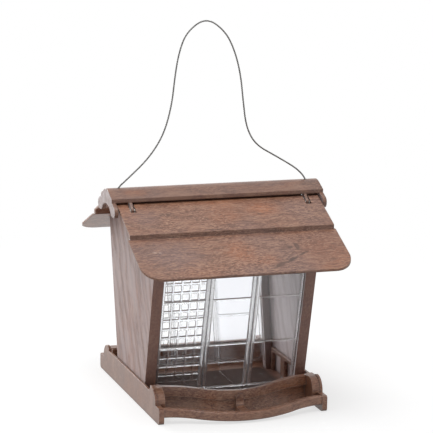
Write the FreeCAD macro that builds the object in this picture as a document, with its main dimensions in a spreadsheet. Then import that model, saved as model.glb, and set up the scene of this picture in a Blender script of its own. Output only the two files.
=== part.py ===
"""Hanging bird feeder: a house-shaped seed hopper on a tray with bowed perches, under two hinged roof flaps.

Millimetres. X runs along the ridge, the front is -Y, +Z is up.
The origin is on the ground under the middle of the tray.
"""
import FreeCAD
import Part
import Sketcher
import math
import os

Vector = FreeCAD.Vector
ALONG_X, ALONG_Y = Vector(1, 0, 0), Vector(0, 1, 0)

# Driving dimensions: name, value, meaning
DIMENSIONS = [
    ("overlap", 1.0, "how far joined shapes run into each other, and cutting shapes reach past"),
    ("rail_half", 105.7, "outer face of a side rail, from the middle"),
    ("rail_thick", 2.8, "thickness of a side rail"),
    ("rail_top", 31.7, "height of a side rail"),
    ("rail_peak", 37.5, "height of the shoulder near each end of a rail"),
    ("shoulder_depth", 114.0, "front of that shoulder, from the middle"),
    ("shoulder_radius", 17.0, "round over the front of that shoulder"),
    ("peak_radius", 8.0, "round from the shoulder back to the rail's top edge"),
    ("end_depth", 130.0, "front of a rail's low end, from the middle"),
    ("end_top", 19.6, "height of a rail's low end"),
    ("end_round", 3.3, "round over a rail's low end"),
    ("toe_radius", 4.0, "round under a rail's low end"),
    ("end_wide", 6.3, "thickness of a rail's low end"),
    ("end_long", 30.0, "length of that thick end"),
    ("bow", 20.0, "how far the lip's rim and the perch bow out at their middle"),
    ("dip", 5.5, "how far they dip at their middle"),
    ("lip_depth", 90.6, "outer face of the lip's rim at its ends, from the middle"),
    ("lip_turn", 46.0, "where the lip's bow changes its turn, from the middle"),
    ("lip_top", 35.2, "top of the lip at its ends"),
    ("lip_thick", 3.0, "thickness of the lip's wall"),
    ("skirt_low", 0.8, "lower edge of that wall, under the floor"),
    ("lip_recess", 5.0, "how far that wall stands behind the rim at its ends"),
    ("lip_fullness", 4.0, "how much further that wall bows out than the rim"),
    ("rim_height", 12.0, "height of the lip's rim"),
    ("floor_low", 4.0, "underside of the tray's floor"),
    ("floor_top", 6.5, "top of the tray's floor"),
    ("perch_depth", 128.5, "outer face of a perch at its ends, from the middle"),
    ("perch_turn", 63.0, "where the perch's bow changes its turn, from the middle"),
    ("perch_low", 8.0, "underside of a perch at its ends"),
    ("perch_top", 19.2, "top of a perch at its ends"),
    ("perch_thick", 9.0, "thickness of a perch"),
    ("perch_round", 2.6, "rounded edges of a perch"),
    ("strut_wide", 10.0, "width of the struts between lip and perch"),
    ("strut_bite", 4.0, "how far a strut runs into the perch"),
    ("strut_face", 3.4, "how far the middle strut's upright stands out of the rim"),
    ("strut_drop", 4.0, "top of the middle strut, below the lip's top"),
    ("strut_fall", 3.2, "how far the middle strut's round top falls to its sides"),
    ("strut_foot", 3.2, "top of a strut's foot, below the perch's top"),
    ("strut_lift", 1.0, "underside of a strut's foot, above the perch's underside"),
    ("strut_radius", 7.0, "hollow round between the middle strut's upright and its foot"),
    ("strut_inset", 1.0, "how far an end strut stays inside the rail's shoulder"),
    ("drain_radius", 2.5, "drain hole in the floor"),
    ("drain_step", 60.0, "spacing of the drain holes along the tray"),
    ("drain_depth", 82.0, "drain holes, from the middle of the tray"),
    ("plinth_out", 99.8, "outer face of the locating plinth inside an end wall"),
    ("plinth_in", 95.2, "inner face of the locating plinth"),
    ("plinth_half", 41.0, "half length of the plinth"),
    ("plinth_top", 35.5, "height of the plinth"),
    ("plinth_gap", 30.0, "width of each of the two gaps in the plinth"),
    ("gap_place", 22.0, "middle of each gap in the plinth"),
    ("plinth_bar", 4.5, "bar left over each gap in the plinth"),
    ("wall_out", 102.5, "outer face of an end wall, from the middle"),
    ("wall_in", 89.5, "inner face of an end wall's edges"),
    ("wall_skin", 2.5, "thickness of an end wall's panel"),
    ("wall_foot", 52.93, "front edge of an end wall, carried down to the ground"),
    ("lean", 0.2333, "how much the front edge leans out, per unit of height"),
    ("wall_edge", 10.8, "depth of an end wall's thick front and back edges"),
    ("gable_shelf", 222.5, "flat shelf at the top of an end wall"),
    ("gable_band", 9.0, "depth of the thick band along an end wall's top"),
    ("tongue_half", 9.0, "half width of the tongue that carries the ridge"),
    ("tongue_top", 244.0, "top of that tongue"),
    ("roof_gap", 0.4, "gap between the closed roof and what is under it"),
    ("groove_front", 4.0, "front face of the window groove, behind the wall's edge"),
    ("groove_back", 7.4, "back face of the window groove"),
    ("groove_deep", 3.6, "depth of the window groove"),
    ("groove_foot", 16.4, "bottom of the window groove"),
    ("pane_inset", 4.3, "outer face of a window, behind the wall's edge"),
    ("pane_half", 92.9, "half width of a window"),
    ("pane_foot", 16.7, "bottom edge of a window"),
    ("pane_rise", 187.4, "height of a window along its slope"),
    ("pane_thick", 2.6, "thickness of a window"),
    ("bead_radius", 1.5, "radius of the half-round beads on a window"),
    ("bead_sunk", 0.3, "middle of those beads, behind the window's face"),
    ("rim_place", 86.8, "window's side beads, from the middle"),
    ("rim_corner", 9.0, "bend of the beads round the window's lower corners"),
    ("upright_radius", 2.5, "radius of the upright beads in front of a divider"),
    ("upright_sunk", 0.9, "middle of those beads, behind the window's face"),
    ("upright_step", 2.9, "upright beads, from the middle of their divider"),
    ("upright_foot", 3.0, "radius of the round foot of an upright bead"),
    ("bar_low", 60.0, "lower cross bead, along the slope"),
    ("bar_high", 120.4, "upper cross bead, along the slope"),
    ("guide_deep", 4.0, "depth of the divider guides inside a window"),
    ("guide_root", 0.2, "how far a guide runs into the pane"),
    ("guide_gap", 3.4, "gap between the two guides of a divider"),
    ("guide_wide", 2.0, "width of a divider guide"),
    ("divider_place", 29.0, "middle of a divider, from the middle of the house"),
    ("divider_thick", 3.0, "thickness of a divider"),
    ("divider_gap", 0.4, "gap round the edges of a divider"),
    ("divider_top", 197.0, "top of a divider"),
    ("mesh_left", -84.9, "left edge of the nut grid"),
    ("mesh_step", 10.9, "spacing of the grid's holes across"),
    ("mesh_rise", 11.7, "spacing of the grid's holes up the slope"),
    ("mesh_hole", 8.7, "side of a hole in the grid"),
    ("mesh_columns", 5, "holes across the grid"),
    ("mesh_low", 12.6, "bottom edge of the grid's lowest block, along the slope"),
    ("mesh_low_rows", 4, "rows of holes in that block"),
    ("mesh_middle", 62.4, "bottom edge of the grid's middle block"),
    ("mesh_high", 122.4, "bottom edge of the grid's upper block"),
    ("mesh_rows", 5, "rows of holes in each of those two blocks"),
    ("ridge_top", 260.0, "top of the ridge cap"),
    ("ridge_half", 135.0, "half length of the ridge cap"),
    ("cap_radius", 22.0, "round over the top of the cap"),
    ("cap_turn", 9.1, "where that round meets the cap's slopes, from the middle"),
    ("cap_depth", 24.0, "front edge of the cap, from the middle"),
    ("cap_edge_top", 251.2, "upper corner of that edge"),
    ("cap_edge_low", 246.4, "lower corner of that edge"),
    ("cap_thick", 2.6, "thickness of the cap"),
    ("end_thick", 4.8, "thickness of the cap's end plates"),
    ("ear_foot", 21.5, "inner corner of an ear's bottom edge, from the middle"),
    ("ear_foot_z", 230.8, "height of that corner"),
    ("ear_toe", 31.5, "outer end of that edge, from the middle"),
    ("ear_toe_z", 229.9, "height of that end"),
    ("ear_out", 37.2, "outermost place of an ear, from the middle"),
    ("ear_out_z", 236.0, "height of that place"),
    ("ear_crown", 33.2, "where an ear's round meets its slope, from the middle"),
    ("ear_crown_z", 243.3, "height of that place"),
    ("ear_round", 6.5, "round of an ear"),
    ("arch_half", 16.5, "half width of the arch between the ears"),
    ("arch_foot", 236.6, "foot of that arch"),
    ("arch_radius", 27.1, "radius of that arch"),
    ("slope", 0.44, "fall of the roof boards, per unit of depth"),
    ("board_deep", 2.7, "upright thickness of a roof board"),
    ("board_top", 19.5, "top edge of a roof flap, from the middle"),
    ("board_top_z", 245.5, "height of that edge"),
    ("lap_depth", 80.0, "where the upper board laps the lower one"),
    ("lap_under", 6.0, "width of that lap"),
    ("eave_depth", 152.0, "eave, from the middle"),
    ("eave_z", 181.6, "height of the eave's top edge"),
    ("upper_half", 128.3, "half length of the upper boards"),
    ("lower_half", 130.5, "half length of the lower boards"),
    ("eave_round", 26.0, "rounded corners of the eave"),
    ("hinge_depth", 30.0, "hinge axis, from the middle"),
    ("hinge_z", 237.8, "height of the hinge axis"),
    ("hinge_place", 111.5, "hinges, along the ridge"),
    ("slot_half", 3.5, "half width of a hinge slot"),
    ("slot_low", 38.5, "lower end of a hinge slot, from the middle"),
    ("boss_wide", 5.0, "width of the bosses beside a hinge slot"),
    ("boss_radius", 3.0, "radius of those bosses"),
    ("pin_radius", 1.5, "hinge pin"),
    ("pin_half", 7.5, "half length of a hinge pin"),
    ("eye_radius", 3.2, "outside of a hinge eye"),
    ("eye_bore", 1.56, "bore of a hinge eye"),
    ("eye_half", 1.7, "half width of a hinge eye and its arm"),
    ("arm_reach", 6.0, "how far a hinge arm reaches in under the cap"),
    ("screw_radius", 1.5, "screw shank"),
    ("screw_head", 3.2, "radius of a screw head"),
    ("screw_head_tall", 2.2, "height of a screw head"),
    ("screw_cross", 0.9, "width of the cross in a screw head"),
    ("screw_cross_half", 2.0, "half length of that cross"),
    ("screw_cross_deep", 1.2, "depth of that cross"),
    ("base_screw_x", 97.0, "base screws, along the ridge"),
    ("base_screw_y", 50.0, "base screws, from the middle"),
    ("base_screw_tip", 20.0, "top of a base screw"),
    ("ridge_screw_z", 238.5, "height of a ridge screw"),
    ("ridge_screw_long", 21.0, "length of a ridge screw's shank"),
    ("ridge_boss_in", 102.9, "inner face of the cap's screw boss"),
    ("ridge_boss_out", 113.0, "outer face of that boss"),
    ("ridge_boss_half", 7.0, "half width of that boss"),
    ("ridge_boss_low", 232.0, "bottom of that boss"),
    ("ridge_boss_top", 258.0, "top of that boss, inside the cap's wall"),
    ("cable_radius", 1.1, "hanging cable"),
    ("cable_place", 120.2, "where the cable leaves the ridge, from the middle"),
    ("cable_hole", 1.9, "radius of the cable's holes in the cap"),
    ("ferrule_radius", 3.0, "crimped stop on the end of the cable"),
    ("ferrule_long", 10.0, "length of that stop"),
    ("ferrule_top", 256.8, "top of that stop, under the cap"),
]

# The hanging cable's route in the plane of the ridge, x and z, from one stop to the other.
CABLE_ROUTE = [
    (-120.2, 256.8), (-120.2, 260.2), (-117, 263.6), (-107.5, 271.8), (-83, 294), (-64, 322), (-54, 358),
    (-50.5, 392), (-46, 421), (-36.5, 446.5), (-12, 463.5), (12, 447), (24.5, 424), (33, 394), (37, 360),
    (41.5, 328), (54, 306), (80, 291.2), (104, 277), (113.2, 269.4), (117.8, 264), (120.2, 259.9),
    (120.2, 256.8),
]
ARC_SHARE = 0.45        # share of the shorter run that each arc of the cable takes

doc = FreeCAD.newDocument("bird_feeder")
sheet = doc.addObject("Spreadsheet::Sheet", "dims")


class Size:
    """A length, and the sheet formula that gives it."""

    def __init__(self, value, text):
        self.value = float(value)
        self.text = text

    def __add__(self, other):
        other = size(other)
        return Size(self.value + other.value, f"({self.text} + {other.text})")

    def __sub__(self, other):
        other = size(other)
        return Size(self.value - other.value, f"({self.text} - {other.text})")

    def __mul__(self, other):
        other = size(other)
        return Size(self.value * other.value, f"({self.text} * {other.text})")

    def __truediv__(self, other):
        other = size(other)
        return Size(self.value / other.value, f"({self.text} / {other.text})")

    def __neg__(self):
        return Size(-self.value, f"(0 - {self.text})")


def size(number):
    """A number as a Size, so that both can stand in one formula."""
    return number if isinstance(number, Size) else Size(number, repr(float(number)))


class Sheet:
    """The driving dimensions, each read by its name."""

    def __init__(self):
        for row, (name, value, meaning) in enumerate(DIMENSIONS, 1):
            sheet.set(f"A{row}", meaning)
            sheet.set(f"B{row}", str(value))
            sheet.setAlias(f"B{row}", name)
            setattr(self, name, Size(value, f"dims.{name}"))
        doc.recompute()


d = Sheet()


# Shapes that the sub-parts are made of

def bind(item, prop, length):
    """Bind a property to its formula in the sheet."""
    item.setExpression(prop, length.text)


def place(item, x=None, y=None, z=None):
    """Bind an object's place."""
    for axis, length in (("x", x), ("y", y), ("z", z)):
        if length is not None:
            bind(item, f"Placement.Base.{axis}", size(length))
    return item


def box(name, low, high):
    """A block between two corners."""
    item = doc.addObject("Part::Box", name)
    low = [size(value) for value in low]
    high = [size(value) for value in high]
    for prop, start, end in zip(("Length", "Width", "Height"), low, high):
        bind(item, prop, end - start)
    return place(item, *low)


def rod(name, radius, start, length, along="z"):
    """A cylinder from a start point, along z or along x."""
    item = doc.addObject("Part::Cylinder", name)
    bind(item, "Radius", size(radius))
    bind(item, "Height", size(length))
    if along == "x":
        item.Placement.Rotation = FreeCAD.Rotation(Vector(0, 1, 0), 90)
    return place(item, *start)


def fuse(name, items):
    """Shapes joined into one."""
    item = doc.addObject("Part::MultiFuse", name)
    item.Shapes = items
    item.Refine = True
    return item


def common(name, items):
    """What two shapes share."""
    item = doc.addObject("Part::MultiCommon", name)
    item.Shapes = items
    return item


def cut(name, base, tools):
    """A shape less the tools."""
    item = doc.addObject("Part::Cut", name)
    item.Base = base
    item.Tool = tools[0] if len(tools) == 1 else fuse(f"{name}_tools", tools)
    return item


def mirror(name, source, normal):
    """The mirror image of a shape in the plane through the origin that a normal gives."""
    item = doc.addObject("Part::Mirroring", name)
    item.Source = source
    item.Normal = normal
    return item


def arc_between(start, end, radius, turn):
    """The short arc from start to end, counter-clockwise for turn 1 and clockwise for turn -1."""
    chord = end - start
    reach = math.sqrt(max(radius ** 2 - chord.Length ** 2 / 4, 0))
    side = Vector(-chord.y, chord.x, 0).normalize()
    centre = (start + end) * 0.5 + side * (reach * turn)
    first, last = (start, end) if turn > 0 else (end, start)
    angles = [math.atan2(point.y - centre.y, point.x - centre.x) for point in (first, last)]
    return Part.ArcOfCircle(Part.Circle(centre, Vector(0, 0, 1), radius), angles[0], angles[1])


def draw(sketch, points, arcs):
    """Draw a closed outline in a sketch, with every corner and radius bound to the sheet.

    arcs gives, for the stretch after corner i, its radius and the way that it turns.
    """
    corners = [Vector(x.value, y.value, 0) for x, y in points]
    ends = []
    for index, start in enumerate(corners):
        end = corners[(index + 1) % len(corners)]
        if index in arcs:
            radius, turn = arcs[index]
            sketch.addGeometry(arc_between(start, end, radius.value, turn))
            ends.append((1, 2) if turn > 0 else (2, 1))
        else:
            sketch.addGeometry(Part.LineSegment(start, end))
            ends.append((1, 2))
    for index in range(len(points)):
        before = index - 1 if index else len(points) - 1
        meeting = Sketcher.Constraint("Coincident", before, ends[before][1], index, ends[index][0])
        sketch.addConstraint(meeting)
    for index, point in enumerate(points):
        for kind, length, axis in (("DistanceX", point[0], -2), ("DistanceY", point[1], -1)):
            if length.value == 0:
                sketch.addConstraint(Sketcher.Constraint("PointOnObject", index, ends[index][0], axis))
                continue
            number = sketch.addConstraint(
                Sketcher.Constraint(kind, -1, 1, index, ends[index][0], length.value))
            sketch.setExpression(f"Constraints[{number}]", length.text)
    for index, (radius, turn) in arcs.items():
        number = sketch.addConstraint(Sketcher.Constraint("Radius", index, radius.value))
        sketch.setExpression(f"Constraints[{number}]", radius.text)


def prism(name, plane, points, start, end, arcs=None, round_edges=None):
    """A body padded from an outline: along z from the plane XY, along x from YZ, along -y from XZ."""
    body = doc.addObject("PartDesign::Body", name)
    sketch = body.newObject("Sketcher::SketchObject", f"{name}_outline")
    role = f"{plane}_Plane"
    sketch.AttachmentSupport = [(next(o for o in body.Origin.OriginFeatures if o.Role == role), "")]
    sketch.MapMode = "FlatFace"
    sketch.setExpression("AttachmentOffset.Base.z", size(start).text)
    draw(sketch, [(size(x), size(y)) for x, y in points], arcs or {})
    pad = body.newObject("PartDesign::Pad", f"{name}_pad")
    pad.Profile = sketch
    bind(pad, "Length", size(end) - start)
    if round_edges:
        doc.recompute()
        radius, wanted = round_edges
        names = [f"Edge{i}" for i, edge in enumerate(pad.Shape.Edges, 1) if wanted(edge)]
        rounding = body.newObject("PartDesign::Fillet", f"{name}_round")
        rounding.Base = (pad, names)
        bind(rounding, "Radius", radius)
    return body


def both_ways(points):
    """An outline's front half, and the same half turned to the back, as one symmetric outline."""
    return points + [(-y, z) for y, z in reversed(points)]


# The tray

def bow_curve(depth, bow, turn, inset, side):
    """A bowed line across the tray, from left to right: its corners and the radii of its three arcs.

    Two end arcs meet the middle arc at turn, and the whole line is moved in by inset.
    """
    half = d.rail_half - d.rail_thick
    square = half * half + bow * bow
    along = half * bow * 2 / square
    across = (half * half - bow * bow) / square
    end_radius = (half - turn) / along
    reach = end_radius + inset
    join_x = half - reach * along
    join_y = size(depth) + end_radius - reach * across
    edge = size(depth) - inset
    corners = [(-half, edge), (-join_x, join_y), (join_x, join_y), (half, edge)]
    return [(x, y * side) for x, y in corners], [reach, turn / along - inset, reach]


def bow_arcs(radii, first, turn):
    """The arcs of a bowed line whose first corner has a number; turn is the way that its end arcs turn."""
    return {first + index: (radius, turn * way) for index, (radius, way) in enumerate(zip(radii, (1, -1, 1)))}


def bowed_band(name, outer, inner, low, high, side):
    """An upright band between two bowed lines."""
    corners = outer[0] + inner[0][::-1]
    arcs = bow_arcs(outer[1], 0, side)
    arcs.update(bow_arcs(inner[1], len(outer[0]), -side))
    return prism(name, "XY", corners, low, high, arcs)


def dipped_band(name, low, high, turn):
    """A band across the whole tray, seen from the front, whose lower and upper edges dip alike."""
    lower = bow_curve(-low, d.dip, turn, 0, -1)
    upper = bow_curve(-high, d.dip, turn, 0, -1)
    arcs = bow_arcs(lower[1], 0, -1)
    arcs.update(bow_arcs(upper[1], len(lower[0]), 1))
    return prism(name, "XZ", lower[0] + upper[0][::-1], -d.end_depth - d.bow, d.end_depth + d.bow, arcs)


def lip_line(inset, side):
    """The bowed line of the lip's wall."""
    return bow_curve(d.lip_depth - d.lip_recess, d.bow + d.lip_fullness, d.lip_turn, inset, side)


def tray_floor():
    """The floor, out to the lips and the rails."""
    front, radii = lip_line(0, -1)
    back = lip_line(0, 1)[0]
    arcs = bow_arcs(radii, 0, -1)
    arcs.update(bow_arcs(radii, len(front), -1))
    return prism("tray_floor", "XY", front + back[::-1], d.floor_low, d.floor_top, arcs)


def lip(word, side):
    """A bowed lip that dips at its middle: a thin wall down past the floor, and a rim that overhangs it."""
    inner = lip_line(d.lip_thick, side)
    wall = bowed_band(f"{word}_wall", lip_line(0, side), inner, d.skirt_low, d.lip_top, side)
    below_floor = -d.dip
    height = dipped_band(f"{word}_wall_height", below_floor, d.lip_top, d.lip_turn)
    outer = bow_curve(d.lip_depth, d.bow, d.lip_turn, 0, side)
    rim = bowed_band(f"{word}_rim", outer, inner, d.floor_low, d.lip_top, side)
    band = dipped_band(f"{word}_rim_height", d.lip_top - d.rim_height, d.lip_top, d.lip_turn)
    return [common(f"{word}_lip_wall", [wall, height]), common(f"{word}_lip_rim", [rim, band])]


def perch(word, side):
    """A bowed and dipped bar with rounded edges."""
    lines = [bow_curve(d.perch_depth, d.bow, d.perch_turn, inset, side) for inset in (0, d.perch_thick)]
    plan = bowed_band(f"{word}_perch_plan", *lines, 0, d.perch_top, side)
    height = dipped_band(f"{word}_perch_height", d.perch_low, d.perch_top, d.perch_turn)
    bar = common(f"{word}_perch_bar", [plan, height])
    doc.recompute()
    radius = d.perch_round.value
    rounding = doc.addObject("Part::Fillet", f"{word}_perch")
    rounding.Base = bar
    rounding.Edges = [(i, radius, radius) for i, edge in enumerate(bar.Shape.Edges, 1) if runs_along(edge)]
    return rounding


def runs_along(edge):
    """True for the edges that run the length of a perch."""
    return edge.BoundBox.XLength > d.perch_thick.value


def rail_front(back, height):
    """The outline of a rail's low end, from its underside over its top to a place and height further back."""
    points = [(-(d.end_depth - d.toe_radius), size(0)), (-d.end_depth, d.toe_radius),
              (-d.end_depth, d.end_top - d.end_round), (-(d.end_depth - d.end_round), d.end_top),
              (-back, d.end_top), (-back, size(height))]
    return points, {0: (d.toe_radius, -1), 2: (d.end_round, -1)}


def side_rail(name, start):
    """A side rail, with a shoulder and a low rounded end at its front and its back."""
    points, arcs = rail_front(d.shoulder_depth, d.rail_peak - d.shoulder_radius)
    top = d.shoulder_depth - d.shoulder_radius
    front = points + [(-top, d.rail_peak), (-(top - d.peak_radius), d.rail_top)]
    arcs.update({5: (d.shoulder_radius, -1), 6: (d.peak_radius, -1)})
    last = 2 * len(front) - 2
    arcs.update({last - i: arc for i, arc in list(arcs.items())})
    return prism(name, "YZ", both_ways(front), start, size(start) + d.rail_thick, arcs)


def rail_end(name, side, end):
    """The thick low end of a rail."""
    points, arcs = rail_front(d.end_depth - d.end_long, 0)
    low, high = sorted(((d.rail_half - d.end_wide) * end, d.rail_half * end), key=lambda length: length.value)
    arcs = {i: (radius, turn * -side) for i, (radius, turn) in arcs.items()}
    return prism(name, "YZ", [(y * -side, z) for y, z in points], low, high, arcs)


def foot_span(rim):
    """The foot of a strut from the rim: its outer end inside the perch, its underside and its top."""
    outer = rim - d.lip_depth + d.perch_depth - d.perch_thick + d.strut_bite
    return outer, d.perch_low + d.strut_lift, d.perch_top - d.strut_foot


def middle_strut(name, side):
    """An upright against the rim, round at its top, with a hollow curve down to its foot."""
    rim = d.lip_depth + d.bow
    inner = rim - d.overlap * 2
    outer, low, high = foot_span(rim)
    low, high = low - d.dip, high - d.dip
    face = rim + d.strut_face
    top = d.lip_top - d.dip - d.strut_drop
    points = [(inner, low), (outer, low), (outer, high), (face + d.strut_radius, high),
              (face, high + d.strut_radius), (face, top), (inner, top)]
    half = d.strut_wide / 2
    block = prism(f"{name}_block", "YZ", [(y * side, z) for y, z in points], -half, half,
                  {3: (d.strut_radius, -side)})
    shoulder = top - d.strut_fall
    crown_radius = (half * half + d.strut_fall * d.strut_fall) / (d.strut_fall * 2)
    arch = prism(f"{name}_arch", "XZ", [(-half, low), (half, low), (half, shoulder), (-half, shoulder)],
                 -d.end_depth - d.bow, d.end_depth + d.bow, {2: (crown_radius, 1)})
    return common(name, [block, arch])


def end_strut(name, side, end):
    """A broad web inside the rail's shoulder, from the lip out to the perch."""
    inner = d.lip_depth - d.lip_recess - d.overlap
    outer, low, high = foot_span(d.lip_depth)
    face = d.shoulder_depth - d.strut_inset
    top = d.rail_peak - d.strut_inset
    points = [(inner, low), (outer, low), (outer, high), (face, high), (face, top - d.shoulder_radius),
              (face - d.shoulder_radius, top), (inner, top)]
    rail_in = d.rail_half - d.rail_thick
    left, right = sorted((rail_in * end, (rail_in - d.strut_wide) * end), key=lambda length: length.value)
    return prism(name, "YZ", [(y * side, z) for y, z in points], left, right, {4: (d.shoulder_radius, side)})


def plinth(name, side):
    """The upright that locates an end wall on the tray, with two gaps in it."""
    low, high = sorted((d.plinth_in * side, d.plinth_out * side), key=lambda length: length.value)
    block = box(f"{name}_block", (low, -d.plinth_half, d.floor_top - d.overlap),
                (high, d.plinth_half, d.plinth_top))
    gaps = []
    for middle in (-d.gap_place, d.gap_place):
        gaps.append(box(f"{name}_gap", (low - d.overlap, middle - d.plinth_gap / 2, d.floor_top),
                        (high + d.overlap, middle + d.plinth_gap / 2, d.plinth_top - d.plinth_bar)))
    return cut(name, block, gaps)


def base_tray():
    """Floor, rails, lips, perches and plinths, moulded as one."""
    pieces = [tray_floor()]
    pieces.append(side_rail("left_rail", -d.rail_half))
    pieces.append(side_rail("right_rail", d.rail_half - d.rail_thick))
    for side, word in ((-1, "front"), (1, "back")):
        pieces += lip(word, side)
        pieces.append(perch(word, side))
        pieces.append(middle_strut(f"{word}_strut", side))
        for end in (-1, 1):
            pieces.append(end_strut(f"{word}_end_strut", side, end))
            pieces.append(rail_end(f"{word}_rail_end", side, end))
    for end in (-1, 1):
        pieces.append(plinth("plinth", end))
    holes = []
    hole_low = d.floor_low - d.overlap
    hole_long = d.floor_top - d.floor_low + d.overlap * 2
    for step in (-1, 0, 1):
        for side in (-1, 1):
            holes.append(rod("drain", d.drain_radius,
                             (d.drain_step * step, d.drain_depth * side, hole_low), hole_long))
    for x in (-d.base_screw_x, d.base_screw_x):
        for y in (-d.base_screw_y, d.base_screw_y):
            holes.append(rod("screw_hole", d.screw_radius, (x, y, hole_low), hole_long))
    return cut("base_tray", fuse("tray_pieces", pieces), holes)


# The end walls

def wall_edge(height, behind=0):
    """Depth of a point behind the front edge of an end wall, at a height."""
    return d.wall_foot + d.lean * height - behind


def wall_corner(behind, drop):
    """Where a line behind the front edge meets the roof line, less a drop: its depth and height."""
    rise = d.eave_z - d.board_deep - d.roof_gap - drop + d.slope * (d.eave_depth - d.wall_foot + behind)
    height = rise / (d.slope * d.lean + 1)
    return wall_edge(height, behind), height


def left_end_wall():
    """A panel with thick edges behind it, grooved for the windows, and a tongue that carries the ridge."""
    corner_y, corner_z = wall_corner(size(0), size(0))
    shelf_y = d.eave_depth - (d.gable_shelf - d.eave_z + d.board_deep + d.roof_gap) / d.slope
    half = [(-wall_edge(d.floor_top), d.floor_top), (-corner_y, corner_z), (-shelf_y, d.gable_shelf),
            (-d.tongue_half, d.gable_shelf), (-d.tongue_half, d.tongue_top)]
    block = prism("left_wall_block", "YZ", both_ways(half), -d.wall_out, -d.wall_in)
    inner_y, inner_z = wall_corner(d.wall_edge, d.gable_band)
    below = d.floor_top - d.overlap
    beyond = -(d.wall_in - d.overlap)
    hollow_half = [(-wall_edge(below, d.wall_edge), below), (-inner_y, inner_z),
                   (-shelf_y, d.gable_shelf - d.gable_band)]
    tools = [prism("left_wall_hollow", "YZ", both_ways(hollow_half), -(d.wall_out - d.wall_skin), beyond)]
    for side, word in ((-1, "front"), (1, "back")):
        groove_top = d.gable_shelf
        groove = [(wall_edge(d.groove_foot, d.groove_front), d.groove_foot),
                  (wall_edge(groove_top, d.groove_front), groove_top),
                  (wall_edge(groove_top, d.groove_back), groove_top),
                  (wall_edge(d.groove_foot, d.groove_back), d.groove_foot)]
        tools.append(prism(f"left_wall_{word}_groove", "YZ", [(y * side, z) for y, z in groove],
                           -(d.wall_in + d.groove_deep), beyond))
        tools.append(rod("wall_screw_hole", d.screw_radius,
                         (-d.base_screw_x, d.base_screw_y * side, below), d.base_screw_tip - below))
    tools.append(rod("tongue_hole", d.screw_radius, (-d.wall_out - d.overlap, size(0), d.ridge_screw_z),
                     d.wall_out - d.wall_in + d.overlap * 2, "x"))
    return cut("left_end_wall", block, tools)


# The clear windows and dividers

def pane_plate():
    """The flat pane, with the nut grid's square holes in one third of it."""
    half, rise, thick = d.pane_half.value, d.pane_rise.value, d.pane_thick.value
    left, step, up, hole = d.mesh_left.value, d.mesh_step.value, d.mesh_rise.value, d.mesh_hole.value
    blocks = [(d.mesh_low, d.mesh_low_rows), (d.mesh_middle, d.mesh_rows), (d.mesh_high, d.mesh_rows)]

    def rectangle(x, z, wide, tall):
        corners = [Vector(x, 0, z), Vector(x + wide, 0, z),
                   Vector(x + wide, 0, z + tall), Vector(x, 0, z + tall)]
        return Part.makePolygon(corners + corners[:1])

    face = Part.Face(rectangle(-half, 0, 2 * half, rise))
    holes = []
    for column in range(int(d.mesh_columns.value)):
        for foot, rows in blocks:
            for row in range(int(rows.value)):
                holes.append(Part.Face(rectangle(left + column * step, foot.value + row * up, hole, hole)))
    item = doc.addObject("Part::Feature", "pane_plate")
    item.Shape = face.cut(Part.makeCompound(holes)).Faces[0].extrude(Vector(0, thick, 0))
    return item


def corner_bead(end):
    """The quarter bend of the beads round a lower corner of a window."""
    item = doc.addObject("Part::Torus", "corner_bead")
    bind(item, "Radius1", d.rim_corner)
    bind(item, "Radius2", d.bead_radius)
    item.Angle3 = 90
    turn = FreeCAD.Rotation(ALONG_X, -90)
    item.Placement.Rotation = turn if end > 0 else FreeCAD.Rotation(ALONG_Y, 90) * turn
    return place(item, (d.rim_place - d.rim_corner) * end, d.bead_sunk, d.bead_radius + d.rim_corner)


def round_foot(x):
    """The round foot of an upright bead."""
    item = doc.addObject("Part::Sphere", "round_foot")
    bind(item, "Radius", d.upright_foot)
    return place(item, x, d.upright_sunk, d.upright_foot)


def front_window():
    """A leaning pane with a rim, cross beads, double upright beads, and guides for the dividers inside."""
    pieces = [pane_plate()]

    def cross_bead(half, z):
        return rod("cross_bead", d.bead_radius, (-half, d.bead_sunk, z), half * 2, "x")

    bend_top = d.bead_radius + d.rim_corner
    for end in (-1, 1):
        pieces.append(rod("side_bead", d.bead_radius, (d.rim_place * end, d.bead_sunk, bend_top),
                          d.pane_rise - bend_top))
        pieces.append(corner_bead(end))
    pieces.append(cross_bead(d.rim_place - d.rim_corner, d.bead_radius))
    for z in (d.bar_low, d.bar_high, d.pane_rise - d.bead_radius):
        pieces.append(cross_bead(d.rim_place, z))
    for middle in (-d.divider_place, d.divider_place):
        for side in (-1, 1):
            inner = middle + d.guide_gap / 2 * side
            outer = middle + (d.guide_gap / 2 + d.guide_wide) * side
            low, high = (inner, outer) if side > 0 else (outer, inner)
            pieces.append(box("guide", (low, d.pane_thick - d.guide_root, 0),
                              (high, d.pane_thick + d.guide_deep, d.pane_rise)))
            spot = middle + d.upright_step * side
            pieces.append(rod("upright_bead", d.upright_radius, (spot, d.upright_sunk, d.upright_foot),
                              d.pane_rise - d.upright_foot))
            pieces.append(round_foot(spot))
    item = fuse("front_window", pieces)
    item.Placement.Rotation = FreeCAD.Rotation(ALONG_X, math.degrees(math.atan(d.lean.value)))
    item.setExpression("Placement.Rotation.Angle", "atan(dims.lean)")
    return place(item, y=-wall_edge(d.pane_foot, d.pane_inset), z=d.pane_foot)


def right_divider():
    """A clear partition between the two windows, standing on the tray."""
    level_share = d.lean * d.lean / 2 + 1
    behind = d.pane_inset + d.pane_thick * level_share + d.divider_gap
    low, high = d.floor_top + d.divider_gap, d.divider_top
    half = [(-wall_edge(low, behind), low), (-wall_edge(high, behind), high)]
    return prism("right_divider", "YZ", both_ways(half), d.divider_place - d.divider_thick / 2,
                 d.divider_place + d.divider_thick / 2)


# The ridge cap

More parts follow.
